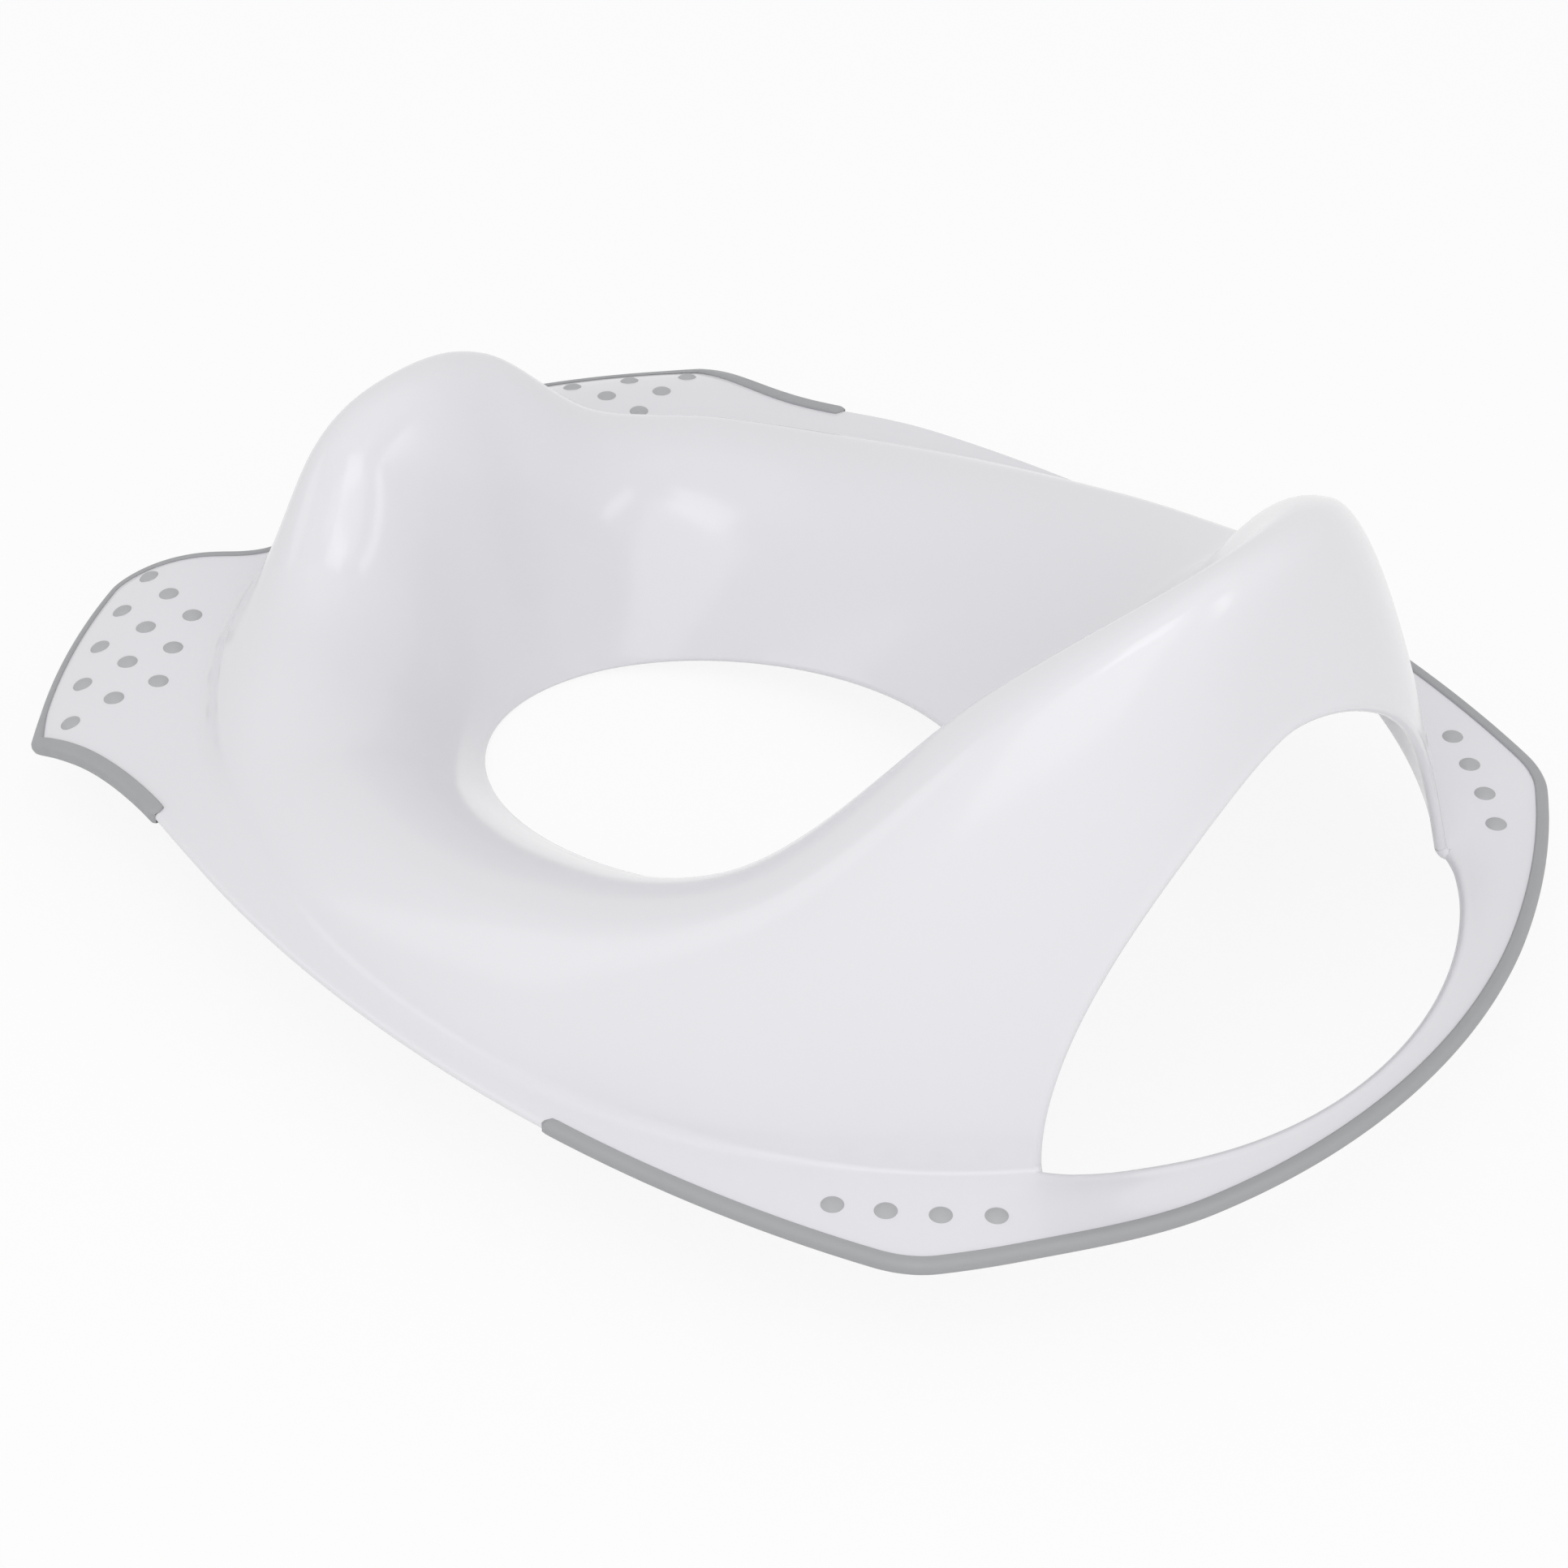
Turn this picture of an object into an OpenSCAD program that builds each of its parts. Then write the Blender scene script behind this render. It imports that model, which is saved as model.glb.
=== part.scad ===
// Potty training seat that lies on a toilet: a one-piece moulded bowl with a splash guard in front
// and a high back behind, whose arched opening is the carrying handle. Three soft grips wrap the
// edge of the flange and soft dots stand through it.
// The seat faces -Y, its left side is +X, z = 0 is the lowest point of the bowl and the origin
// lies under the middle of the overall length. Places along Y below are counted from a cross
// line of the bowl, from which the whole seat is shifted to that middle at the end.

/* [Hole] */
// Width of the hole at its rim
hole_w = 107; // [90:1:125]
// Length of the hole at its rim
hole_l = 154; // [130:1:175]
// Centre of the hole along Y
hole_y = -18.5; // [-30:0.5:-5]
// Depth of the rim below the flange at the front
rim_front_depth = 36.5; // [25:0.5:50]
// Depth of the rim below the flange at the rear
rim_rear_depth = 5.5; // [0:0.5:20]

/* [Wall foot] */
// Centre of the wall foot along Y
foot_y = 17.5; // [5:0.5:30]
// Length of the wall foot ahead of its centre
foot_front_l = 185; // [175:1:195]

/* [Crest heights above the flange] */
// Splash guard at the front
guard_h = 55; // [40:0.5:80]
// Cheek of the guard, 15 degrees from the front
cheek_h = 47; // [35:0.5:65]
// Front shoulder, 30 degrees from the front
front_h = 21; // [15:0.5:40]
// Start of the leg cut-out, 45 degrees from the front
thigh_h = 14; // [8:0.5:30]
// Bottom of the leg cut-out, 60 degrees from the front
saddle_h = 11; // [6:0.5:25]
// Hips, at the side
hip_h = 23.5; // [15:0.5:35]
// Rear shoulder, 60 degrees from the rear
shoulder_h = 49.5; // [40:0.5:60]
// Wing of the back, 30 degrees from the rear
wing_h = 107.5; // [95:1:125]
// Top of the back
back_h = 130.5; // [120:1:150]

/* [Carrying opening] */
// Width of the opening where it meets the flange
arch_w = 161; // [130:1:180]
// Height of the arch above the flange
arch_h = 88; // [60:1:95]
// Fullness of the arch, 2 is an ellipse
arch_power = 1.75; // [1.5:0.05:2.5]
// How far the opening cuts into the flange behind the wall foot
slot_cut = 5.5; // [2:0.5:7]

/* [Flange] */
// Thickness of the moulded wall
wall_t = 2.6; // [2:0.1:3.5]
// Width of the flange across the sides
flange_w = 303.8; // [303:0.2:320]
// Where along Y the flange is widest
flange_side_y = 21; // [10:0.5:35]
// Width of the flange beside the wall
side_flange_w = 7.9; // [5:0.1:12]
// Width of the flange behind the wall
rear_flange_w = 14.5; // [10:0.5:20]
// Length of the side oval ahead of its widest place
flange_front_l = 251; // [235:1:280]
// Length of the side oval behind its widest place
flange_rear_l = 251; // [235:1:265]
// Rear edge of the flange along Y
flange_rear_y = 205; // [200:0.5:212]
// Radius of the rear edge seen from above
flange_rear_r = 198; // [180:1:240]
// Softness of the rear corners
flange_corner = 4; // [2:0.5:12]
// Width of the flange in front of the splash guard
nose_w = 4.5; // [4:0.5:10]

/* [Ears] */
// Radius of the front edge of an ear
ear_r = 210.5; // [207:0.5:214]
// Centre of that edge along Y
ear_y = -1.5; // [-6:0.5:2]
// Distance of that centre from the side of the seat, past the middle
ear_span = 167.4; // [160:0.2:172]
// How far the outer side of an ear lies in from the side of the seat
ear_side_inset = 23.4; // [18:0.2:30]
// Where along Y it has that inset
ear_side_y = -117.5; // [-125:0.5:-105]
// Lean of the outer side, as run over rise
ear_side_lean = -0.05; // [-0.1:0.01:0.1]
// Width of an ear, from its outer side to where its inner side leaves the nose
ear_w = 83; // [75:0.5:90]
// Place of that inner point along Y
ear_inner_y = -182.5; // [-190:0.5:-175]
// Lean of the inner side, as run over rise
ear_inner_lean = 0.95; // [0.6:0.05:1.2]
// Softness of the outer corner of an ear
ear_corner = 1; // [0.5:0.5:8]
// Softness of the inner corner of an ear
ear_inner_corner = 22; // [10:1:30]
// Softness with which an ear flows into the sides and the nose
ear_blend = 11; // [4:0.5:20]

/* [Bends of the flange] */
// Drop of the flat of an ear below the flange
ear_drop = 4; // [0:0.5:8]
// Width of the band over which it drops
ear_bend_w = 35; // [20:1:50]
// Further drop of the front edge of an ear
ear_roll = 7; // [4:0.2:14]
// Width of the band over which that edge rolls down
ear_roll_w = 27; // [15:1:40]
// Roundness of that roll
ear_roll_power = 2.2; // [1.5:0.1:3]
// Where along Y the flange starts to drop towards the ears
ear_bend_y = -67.5; // [-80:0.5:-50]
// Length along Y over which the drop reaches its full size
ear_bend_l = 60; // [40:1:80]
// How far the middle of the rear edge bends down
rear_drop = 3; // [0:0.2:6]
// Half the width of the rear bend
rear_bend_x = 104; // [80:1:120]
// Width over which it fades in at each end
rear_bend_w = 45; // [25:1:60]
// Where along Y it starts
rear_bend_y = 152.5; // [145:0.5:165]
// Length along Y over which it fades in
rear_bend_l = 25; // [10:1:35]

/* [Edge grips] */
// Width of a grip seen from above
grip_w = 3.5; // [2.5:0.1:5]
// How far a grip stands out past the edge of the flange
grip_out = 0.8; // [0.5:0.1:1.5]
// Thickness of a grip above and below the flange
grip_t = 0.75; // [0.5:0.05:1.5]
// Clearance between a grip or dot and the wall it sits on
fit_gap = 0.05; // [0.02:0.01:0.15]
// Where the rear grip starts on each side, along Y
grip_rear_y = 64; // [40:1:100]
// Where an ear grip starts on the side of the seat, along Y
grip_ear_y = -92; // [-105:1:-85]
// Angle round the wall foot where an ear grip ends by the nose
grip_ear_end = -79; // [-83:0.5:-74]

/* [Dots] */
// Diameter of a dot
dot_d = 5.6; // [4:0.1:8]
// How far a dot stands above the flange
dot_crown = 0.6; // [0.3:0.1:1.2]
// How far a dot stands below the flange
dot_nub = 0.8; // [0.4:0.1:1.5]
// How much wider than the dot its foot under the flange is, all round
dot_brim = 0.7; // [0.3:0.1:1.2]
// Place of the middle ear dot between the outer and the inner side of an ear, as a share
dot_ear_share = 0.405; // [0.35:0.005:0.5]
// Angle between two dots of a row on an ear
dot_ear_pitch = 5.05; // [4:0.05:6]
// Distance of the outer row of ear dots from the edge
dot_ear_inset = 9.8; // [8:0.2:14]
// Distance between two rows of ear dots
dot_ear_row = 10.7; // [8:0.1:13]
// Bearing of the first rear dot from the centre of the wall foot
dot_rear_bearing = 43; // [38:0.5:46]
// Angle between two rear dots
dot_rear_pitch = 4.15; // [3:0.05:5]
// Place of each rear dot between the wall foot and the edge, as a share
dot_rear_share = [0.49, 0.44, 0.47, 0.53]; // [0.35:0.01:0.65]

/* [Hidden] */
// Angles round the seat of the nine stations of the wall, from the front to the rear
station_at = [-90, -75, -60, -45, -30, 0, 30, 60, 90];
crest_h = [guard_h, cheek_h, front_h, thigh_h, saddle_h, hip_h, shoulder_h, wing_h, back_h];
// Place of the crest between the rim and the wall foot, as a share
crest_share = [0.58, 0.645, 0.62, 0.69, 0.695, 0.74, 0.735, 0.68, 0.685];
// Slope of the wall at the rim and how far that slope carries
rim_slope = [74, 67, 60, 54, 48, 41, 33, 37, 24];
rim_pull = [0.35, 0.35, 0.35, 0.35, 0.35, 0.35, 0.385, 0.45, 0.47];
// How far the crest stays level towards the rim and towards the foot
crest_pull_in = [0.495, 0.49, 0.475, 0.46, 0.46, 0.4, 0.33, 0.37, 0.235];
crest_pull_out = [0.605, 0.58, 0.48, 0.48, 0.465, 0.395, 0.37, 0.335, 0.37];
// Slope of the wall at its foot and how far that slope carries
foot_slope = [53, 49, 45, 45, 45, 66, 77, 77, 69];
foot_pull = [0.345, 0.36, 0.35, 0.34, 0.32, 0.305, 0.36, 0.465, 0.78];

// The rim's lowest corner stands on z = 0
flange_z = rim_front_depth + wall_t * cos(rim_slope[0]);
// Width and rear length of the bowl where its outer wall meets the flange
foot_w = flange_w - 2 * side_flange_w;
foot_rear_l = flange_rear_y - foot_y - rear_flange_w;
// Outer side of an ear, and the centre of its edge past the middle of the seat
ear_side_x = flange_w / 2 - ear_side_inset;
ear_inner_x = ear_side_x - ear_w;
ear_x = ear_span - flange_w / 2;
// Bearings of the sides of an ear and of its middle dot, from the centre of its edge
ear_side_bearing = -acos((ear_side_x + ear_x) / ear_r);
ear_inner_bearing = -acos((ear_inner_x + ear_x) / ear_r);
dot_ear_bearing = ear_side_bearing + dot_ear_share * (ear_inner_bearing - ear_side_bearing);
// Angle round the wall foot where the carrying opening starts
arch_angle = acos(arch_w / foot_w);
// Radial distance that stands for no limit
far = 1000;
// Bearings between which the ears reach out, and where the nose takes over from the sides
ear_from = -35;
nose_from = -50;

// Rows of the mesh from rim to crest, crest to foot and across the flange
rows_in = 7;
rows_out = 7;
rows_flange = 4;
wall_rows = rows_in + rows_out + 1;
rows = wall_rows + rows_flange;
// Width of the last band of the flange, which lies under the grip
edge_band = grip_w + 0.5;

EAR_DOTS = 12;
REAR_DOTS = 4;
SIDES = ["left", "right"];

// General helpers
function clamp(v, lo, hi) = min(max(v, lo), hi);
function smooth(u) = let (c = clamp(u, 0, 1)) c * c * (3 - 2 * c);
function unit(v) = v / norm(v);
function soft_min(a, b, k) =
    let (h = clamp(0.5 + 0.5 * (b - a) / k, 0, 1))
    b + (a - b) * h - k * h * (1 - h);
function soft_max(a, b, k) = -soft_min(-a, -b, k);
function bezier(p, v) =
    let (w = 1 - v)
    w * w * w * p[0] + 3 * v * w * w * p[1] + 3 * v * v * w * p[2] + v * v * v * p[3];
// Offset that keeps an even wall across a bend between two faces
function miter(n1, n2) = (n1 + n2) / (1 + n1 * n2);
function sorted(v) =
    len(v) < 2 ? v :
    let (
        pivot = v[floor(len(v) / 2)],
        low = [for (x = v) if (x < pivot) x],
        high = [for (x = v) if (x > pivot) x]
    )
    concat(sorted(low), [pivot], sorted(high));

// Angle round the seat brought to the left half, from -90 at the front to 90 at the rear
function fold(a) =
    let (b = a > 180 ? a - 360 : a)
    b > 90 ? 180 - b : b < -90 ? -180 - b : b;
// Values and angles past the first and last station mirror those before them
last_station = len(station_at) - 1;
function mirrored(v, i) = v[last_station - abs(last_station - abs(i))];
function mirrored_at(i) =
    i < 0 ? -180 - station_at[-i] :
    i > last_station ? 180 - station_at[2 * last_station - i] :
    station_at[i];
// Smooth value between the stations, which lie at uneven steps
function station(v, a) =
    let (
        angle = fold(a),
        k = max([for (i = [0:last_station - 1]) if (i == 0 || station_at[i] <= angle) i]),
        step = station_at[k + 1] - station_at[k],
        f = (angle - station_at[k]) / step,
        start = mirrored(v, k),
        end = mirrored(v, k + 1),
        start_rise = (end - mirrored(v, k - 1)) / (station_at[k + 1] - mirrored_at(k - 1)) * step,
        end_rise = (mirrored(v, k + 2) - start) / (mirrored_at(k + 2) - station_at[k]) * step
    )
    start * (2 * f * f * f - 3 * f * f + 1) + start_rise * (f * f * f - 2 * f * f + f)
    + end * (3 * f * f - 2 * f * f * f) + end_rise * (f * f * f - f * f);

// Bowl
function rim_point(a) = [
    hole_w / 2 * cos(a),
    hole_y + hole_l / 2 * sin(a),
    -(rim_front_depth + rim_rear_depth) / 2 + (rim_front_depth - rim_rear_depth) / 2 * sin(a)
];
function foot_point(a) = [
    foot_w / 2 * cos(a),
    foot_y + (sin(a) < 0 ? foot_front_l : foot_rear_l) * sin(a),
    0
];
// Control points of the wall from rim to crest, as [distance from the rim, height]
function inner_curve(a, reach, rim_z) =
    let (
        crest = [station(crest_share, a) * reach, station(crest_h, a)],
        pull = station(rim_pull, a) * norm([crest.x, crest.y - rim_z]),
        slope = station(rim_slope, a)
    )
    [[0, rim_z], [pull * cos(slope), rim_z + pull * sin(slope)],
     [crest.x * (1 - station(crest_pull_in, a)), crest.y], crest];
// Control points of the wall from crest to foot
function outer_curve(a, reach) =
    let (
        crest = [station(crest_share, a) * reach, station(crest_h, a)],
        rest = reach - crest.x,
        pull = station(foot_pull, a) * norm([rest, crest.y]),
        slope = station(foot_slope, a)
    )
    [crest, [crest.x + station(crest_pull_out, a) * rest, crest.y],
     [reach - pull * cos(slope), pull * sin(slope)], [reach, 0]];
function wall_point(a, v, outer) =
    let (
        rim = rim_point(a),
        foot = foot_point(a),
        run = [foot.x - rim.x, foot.y - rim.y],
        reach = norm(run),
        p = bezier(outer ? outer_curve(a, reach) : inner_curve(a, reach, rim.z), v)
    )
    [rim.x + run.x * p.x / reach, rim.y + run.y * p.x / reach, p.y];

// Carrying opening
function in_arch(a) = fold(a) > arch_angle + 0.01;
// Position along half the arch, from 0 at its corner to 90 at its top
function arch_turn(a) = 90 * (fold(a) - arch_angle) / (90 - arch_angle);
function arch_edge_z(a) = arch_h * pow(sin(arch_turn(a)), 2 / arch_power);
// Angle round the seat of the arch's edge below the crest at angle a
function arch_edge_angle(a) =
    let (half = 90 - (90 - arch_angle) * pow(max(cos(arch_turn(a)), 0), 2 / arch_power))
    a > 90 ? 180 - half : half;
// Share of the outer wall that is left above height z, found by halving
function share_above(curve, z, lo = 0, hi = 1, steps = 24) =
    steps == 0 ? (lo + hi) / 2 :
    let (mid = (lo + hi) / 2)
    bezier(curve, mid).y > z
        ? share_above(curve, z, mid, hi, steps - 1)
        : share_above(curve, z, lo, mid, steps - 1);
function arch_share(a) =
    let (
        edge = arch_edge_angle(a),
        rim = rim_point(edge),
        foot = foot_point(edge)
    )
    share_above(outer_curve(edge, norm([foot.x - rim.x, foot.y - rim.y])), arch_edge_z(a));
// Point of the outer wall, where columns over the opening end at its edge
function outer_point(a, f) =
    in_arch(a)
        ? wall_point(a + (arch_edge_angle(a) - a) * f, arch_share(a) * f, true)
        : wall_point(a, f, true);

// Outline of the flange as a distance from the centre of the wall foot
function bearing(p) = atan2(p.y - foot_y, p.x);
function polar(r, b) = [r * cos(b), foot_y + r * sin(b)];
function foot_r(b) =
    1 / norm([cos(b) / (foot_w / 2), sin(b) / (sin(b) < 0 ? foot_front_l : foot_rear_l)]);
function ray_circle(b, centre, r) =
    let (
        off = [-centre.x, foot_y - centre.y],
        along = cos(b) * off.x + sin(b) * off.y
    )
    -along + sqrt(max(along * along - off * off + r * r, 0));
function ray_line(b, p, lean) =
    let (
        d = cos(b) - lean * sin(b),
        r = abs(d) < 0.001 ? far : (p.x + lean * (foot_y - p.y)) / d
    )
    r > 0 ? r : far;
function ray_side(b) =
    let (
        off = foot_y - flange_side_y,
        half_l = sin(b) * flange_w / 2 < -off * cos(b) ? flange_front_l : flange_rear_l,
        qa = pow(cos(b) / (flange_w / 2), 2) + pow(sin(b) / half_l, 2),
        qb = sin(b) * off / (half_l * half_l),
        qc = off * off / (half_l * half_l) - 1
    )
    (-qb + sqrt(qb * qb - qa * qc)) / qa;
function ear_reach(b) =
    b > ear_from ? 0 :
    soft_min(
        soft_min(ray_line(b, [ear_side_x, ear_side_y], ear_side_lean),
                 ray_circle(b, [-ear_x, ear_y], ear_r), ear_corner),
        ray_line(b, [ear_inner_x, ear_inner_y], -ear_inner_lean),
        ear_inner_corner);
function body_reach(b) =
    b < nose_from
        ? foot_r(b) + nose_w
        : soft_min(ray_side(b), ray_circle(b, [0, flange_rear_y - flange_rear_r], flange_rear_r),
                   flange_corner);
function edge_r(b) = let (h = fold(b)) soft_max(body_reach(h), ear_reach(h), ear_blend);

// Top face of the flange as a height over the plan
function flange_drop(x, y) =
    let (
        ear = norm([abs(x) + ear_x, y - ear_y]),
        forward = smooth((ear_bend_y - y) / ear_bend_l),
        bend = ear_drop * smooth((ear - ear_r) / ear_bend_w + 2),
        roll = ear_roll * pow(max((ear - ear_r) / ear_roll_w + 1, 0), ear_roll_power),
        past_foot = (norm([x, y - foot_y]) - foot_rear_l) / (flange_rear_y - foot_y - foot_rear_l)
    )
    forward * (bend + roll)
    + rear_drop * smooth((rear_bend_x - abs(x)) / rear_bend_w) * smooth((y - rear_bend_y) / rear_bend_l)
      * smooth(past_foot);
function skin(p) = [p.x, p.y, -flange_drop(p.x, p.y)];
function skin_normal(p) =
    let (e = 0.01)
    unit([
        flange_drop(p.x + e, p.y) - flange_drop(p.x - e, p.y),
        flange_drop(p.x, p.y + e) - flange_drop(p.x, p.y - e),
        2 * e
    ]);

// Columns of the mesh, closer together at the corners
ear_grip_start = let (b = bearing([ear_side_x, grip_ear_y])) atan(tan(b) * foot_w / 2 / foot_front_l);
rear_grip_start =
    let (b = bearing([flange_w / 2, grip_rear_y])) atan(tan(b) * foot_w / 2 / foot_rear_l);
marks = [-90, grip_ear_end, ear_grip_start, rear_grip_start, arch_angle, 90];
plain = concat(
    [for (a = [-87:3:-81]) a],
    [for (a = [-77:2:-65]) a],
    [for (a = [-62:3.5:-50]) a],
    [for (a = [-49:1:-42]) a],
    [for (a = [-40:4:36]) a],
    [for (a = [38:1.5:47]) a],
    [for (a = [50:2.5:87.5]) a]
);
half_columns = sorted(concat(marks, [for (a = plain) if (min([for (m = marks) abs(a - m)]) > 0.8) a]));
columns = concat(
    half_columns,
    [for (i = [len(half_columns) - 2:-1:1]) 180 - half_columns[i]]
);
n = len(columns);
function next(i) = (i + 1) % n;
function before(i) = (i + n - 1) % n;

// Rows of the wall and flange on top
wall_top = [for (a = columns) concat(
    [for (j = [0:rows_in - 1]) wall_point(a, j / rows_in, false)],
    [for (j = [0:rows_out]) outer_point(a, j / rows_out)]
)];
function flange_start(a) =
    foot_r(bearing(foot_point(a)))
    + (in_arch(a) ? slot_cut * (1 - pow((90 - fold(a)) / (90 - arch_angle), 4)) : 0);
flange_top = [for (a = columns)
    let (
        b = bearing(foot_point(a)),
        start = flange_start(a),
        end = edge_r(b),
        band = end - min(edge_band, 0.6 * (end - start))
    )
    concat(
        [for (k = [0:rows_flange - 1]) skin(polar(start + (band - start) * k / (rows_flange - 1), b))],
        [skin(polar(end, b))]
    )];

// Directions in which the wall has its thickness
function wall_normal(i, j, k) =
    unit(cross(wall_top[i][k] - wall_top[i][j], wall_top[next(i)][j] - wall_top[before(i)][j]));
function wall_miter(i, j) =
    let (last = wall_rows - 1)
    j == 0 ? wall_normal(i, 0, 1) :
    j == last && in_arch(columns[i]) ? -wall_normal(i, j, j - 1) :
    j == last ? miter(-wall_normal(i, j, j - 1), skin_normal(wall_top[i][j])) :
    miter(-wall_normal(i, j, j - 1), wall_normal(i, j, j + 1));
wall_under = [for (i = [0:n - 1]) [for (j = [0:wall_rows - 1])
    wall_top[i][j] - wall_t * wall_miter(i, j)]];
flange_under = [for (i = [0:n - 1]) [for (k = [0:rows_flange])
    flange_top[i][k] - wall_t * skin_normal(flange_top[i][k])]];

// Columns over the opening, where the flange has a first row of its own
open_columns = [for (i = [0:n - 1]) if (in_arch(columns[i])) i];
first_open = open_columns[0];
open_n = len(open_columns);
shell_points = concat(
    [for (i = [0:n - 1]) each concat(wall_top[i], [for (k = [1:rows_flange]) flange_top[i][k]])],
    [for (i = [0:n - 1]) each concat(wall_under[i], [for (k = [1:rows_flange]) flange_under[i][k]])],
    [for (i = open_columns) flange_top[i][0]],
    [for (i = open_columns) flange_under[i][0]]
);
function top(i, j) = i * rows + j;
function under(i, j) = (n + i) * rows + j;
function is_open(i) = i >= first_open && i < first_open + open_n;
function strip_top(i) = is_open(i) ? 2 * n * rows + i - first_open : top(i, wall_rows - 1);
function strip_under(i) =
    is_open(i) ? 2 * n * rows + open_n + i - first_open : under(i, wall_rows - 1);
function quad(a, b, c, d) = [[a, b, c], [a, c, d]];

shell_faces = [for (i = [0:n - 1]) let (m = next(i), foot = wall_rows - 1, edge = rows - 1) each concat(
    [for (j = [0:foot - 1]) each quad(top(i, j), top(m, j), top(m, j + 1), top(i, j + 1))],
    [for (j = [0:foot - 1]) each quad(under(i, j + 1), under(m, j + 1), under(m, j), under(i, j))],
    quad(strip_top(i), strip_top(m), top(m, foot + 1), top(i, foot + 1)),
    quad(under(i, foot + 1), under(m, foot + 1), strip_under(m), strip_under(i)),
    [for (j = [foot + 1:edge - 1]) each quad(top(i, j), top(m, j), top(m, j + 1), top(i, j + 1))],
    [for (j = [foot + 1:edge - 1])
        each quad(under(i, j + 1), under(m, j + 1), under(m, j), under(i, j))],
    quad(under(i, 0), under(m, 0), top(m, 0), top(i, 0)),
    quad(top(i, edge), top(m, edge), under(m, edge), under(i, edge)),
    is_open(i) || is_open(m) ? concat(
        quad(top(i, foot), top(m, foot), under(m, foot), under(i, foot)),
        quad(strip_under(i), strip_under(m), strip_top(m), strip_top(i))
    ) : []
)];

// Edge grips
edge_plan = [for (i = [0:n - 1]) let (p = flange_top[i][rows_flange]) [p.x, p.y]];
function side_normal(p, q) = let (d = unit(q - p)) [d.y, -d.x];
function edge_normal(i, first, last) =
    i == first ? side_normal(edge_plan[i], edge_plan[next(i)]) :
    i == last ? side_normal(edge_plan[before(i)], edge_plan[i]) :
    miter(side_normal(edge_plan[before(i)], edge_plan[i]), side_normal(edge_plan[i], edge_plan[next(i)]));
// Section of a grip as [distance past the edge, height above the flange], open towards the flange
function grip_section() =
    let (
        lip = grip_out - grip_w,
        high = grip_t,
        low = -wall_t - grip_t,
        bevel = grip_t / 2
    )
    [
        [lip, fit_gap], [lip, high - bevel], [lip + bevel, high], [grip_out - 2 * bevel, high],
        [grip_out, high - 2 * bevel], [grip_out, low + 2 * bevel], [grip_out - 2 * bevel, low],
        [lip + bevel, low], [lip, low + bevel], [lip, -wall_t - fit_gap],
        [fit_gap, -wall_t - fit_gap], [fit_gap, fit_gap]
    ];
function column_at(a) = search(1, [for (c = columns) abs(c - a) < 0.001 ? 1 : 0])[0];
module grip(first_angle, last_angle) {
    section = grip_section();
    sides = len(section);
    first = column_at(first_angle);
    last = column_at(last_angle);
    count = last - first;
    points = [for (i = [first:last], s = section)
        let (
            p = edge_plan[i] + edge_normal(i, first, last) * s.x
        )
        skin(p) + skin_normal(p) * s.y];
    walls = [for (i = [0:count - 1], j = [0:sides - 1]) let (k = (j + 1) % sides)
        each quad(i * sides + j, (i + 1) * sides + j, (i + 1) * sides + k, i * sides + k)];
    // The C-shaped ends are closed by a strip of quads between the outer and inner faces
    function cap(base) = [
        [base, base + 1, base + 2, base + 3, base + 4, base + 11],
        [base + 11, base + 4, base + 5, base + 10],
        [base + 10, base + 5, base + 6, base + 7, base + 8, base + 9]
    ];
    polyhedron(points, concat(
        walls,
        cap(0),
        [for (f = cap(count * sides)) [for (v = [len(f) - 1:-1:0]) f[v]]]
    ));
}

// Dots
function ear_dot_plan(i) =
    let (
        row = i < 5 ? 0 : i < 9 ? 1 : 2,
        place = row == 0 ? i - 2 : row == 1 ? i - 6.5 : i - 10,
        r = ear_r - dot_ear_inset - row * dot_ear_row,
        b = dot_ear_bearing + place * dot_ear_pitch
    )
    [-ear_x + r * cos(b), ear_y + r * sin(b)];
function rear_dot_plan(i) =
    let (b = dot_rear_bearing + i * dot_rear_pitch)
    polar(foot_r(b) + dot_rear_share[i] * (edge_r(b) - foot_r(b)), b);
// Places children on the flange with their Z along its normal
module on_skin(p) {
    z = skin_normal(p);
    x = unit(cross([0, 1, 0], z));
    y = cross(z, x);
    o = skin(p);
    multmatrix([
        [x.x, y.x, z.x, o.x],
        [x.y, y.y, z.y, o.y],
        [x.z, y.z, z.z, o.z],
        [0, 0, 0, 1]
    ]) children();
}
module dot() {
    r = dot_d / 2;
    brim = r + dot_brim;
    low = -wall_t - dot_nub;
    rotate_extrude($fn = 32) polygon(concat(
        [[0, low], [brim - dot_nub / 2, low], [brim, low + dot_nub / 2], [brim, -wall_t - fit_gap],
         [r, -wall_t - fit_gap]],
        [for (a = [0:15:90]) [r * cos(a), dot_crown * sin(a)]]
    ));
}
module dot_hole() {
    translate([0, 0, -2 * wall_t]) cylinder(d = dot_d + 2 * fit_gap, h = 3 * wall_t, $fn = 32);
}

// Brings the bowl's own cross line and flange height to the seat's origin
edge_ys = [for (p = edge_plan) p.y];
middle_y = (min(edge_ys) + max(edge_ys)) / 2;
module lift() { translate([0, -middle_y, flange_z]) children(); }
module on_side(side) { mirror([side == "right" ? 1 : 0, 0, 0]) children(); }

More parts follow.
